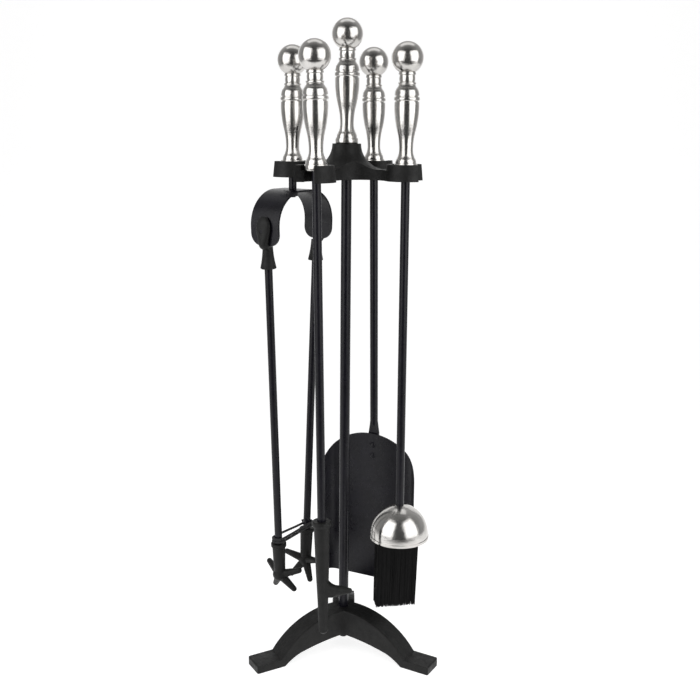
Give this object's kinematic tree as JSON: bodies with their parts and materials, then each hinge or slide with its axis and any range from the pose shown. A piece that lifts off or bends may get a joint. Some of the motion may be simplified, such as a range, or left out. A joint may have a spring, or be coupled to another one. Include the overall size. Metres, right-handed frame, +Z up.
{
  "type": "fireplace tool set",
  "caption": "Fireplace tool set: a post on arched legs whose gallery cups hold a poker, shovel, brush and sprung tongs by their ball-ended handles.",
  "frame": {"origin": "on the floor, on the post's axis", "axes": "+Z up along the post; +Y along the back leg; -Y is the side that a user faces"},
  "size_m": [0.197, 0.1833, 0.65],
  "materials": {
    "cast_black": "satin black paint over a slightly rough casting",
    "black_metal": "smooth satin black paint",
    "nickel": "satin nickel plate",
    "bristle": "glossy black bristles",
    "block": "black stained wood",
    "zinc": "zinc plated",
    "cord": "black cord"
  },
  "bodies": {
    "stand": {"base_casting": "cast_black", "base_washer": "black_metal", "base_nut": "black_metal", "stand_post": "black_metal", "tool_gallery": "cast_black", "finial_handle": "nickel"},
    "poker": {"poker_handle": "nickel", "poker_rod": "black_metal", "poker_point": "cast_black"},
    "shovel": {"shovel_handle": "nickel", "shovel_rod": "black_metal", "shovel_pan": "black_metal", "shovel_rivets": "black_metal"},
    "brush": {"brush_handle": "nickel", "brush_rod": "black_metal", "brush_dome": "nickel", "brush_block": "block", "brush_nut": "zinc", "brush_bristles": "bristle"},
    "tongs": {"tongs_handle": "nickel", "tongs_rod": "black_metal", "tongs_bow": "black_metal", "tongs_nut": "black_metal", "tongs_tie": "cord"},
    "near_arm": {"tongs_socket_near": "cast_black", "tongs_rivet_near": "black_metal", "tongs_arm_near": "black_metal", "tongs_claw_near": "cast_black"},
    "far_arm": {"tongs_socket_far": "cast_black", "tongs_rivet_far": "black_metal", "tongs_arm_far": "black_metal", "tongs_claw_far": "cast_black"}
  },
  "joints": [
    {"name": "poker_lift", "type": "slide", "parent": "stand", "child": "poker", "axis": [0, 0, 1], "range_m": [0, 0.06]},
    {"name": "shovel_lift", "type": "slide", "parent": "stand", "child": "shovel", "axis": [0, 0, 1], "range_m": [0, 0.06]},
    {"name": "brush_lift", "type": "slide", "parent": "stand", "child": "brush", "axis": [0, 0, 1], "range_m": [0, 0.06]},
    {"name": "tongs_lift", "type": "slide", "parent": "stand", "child": "tongs", "axis": [0, 0, 1], "range_m": [0, 0.011]},
    {"name": "near_arm_squeeze", "type": "hinge", "parent": "tongs", "child": "near_arm", "pos_m": [-0.05414, 0.0288, 0.4865], "axis": [0.8192, -0.5736, 0], "range_deg": [0, 1.45], "stiffness_Nm_per_rad": 12, "deforming": ["tongs_bow"]},
    {"name": "far_arm_squeeze", "type": "hinge", "parent": "tongs", "child": "far_arm", "pos_m": [-0.05414, 0.0288, 0.4865], "axis": [-0.8192, 0.5736, 0], "range_deg": [0, 1.45], "stiffness_Nm_per_rad": 12, "deforming": ["tongs_bow"]}
  ],
  "couplings": [
    {"joint": "far_arm_squeeze", "follows": "near_arm_squeeze", "ratio": 1}
  ]
}
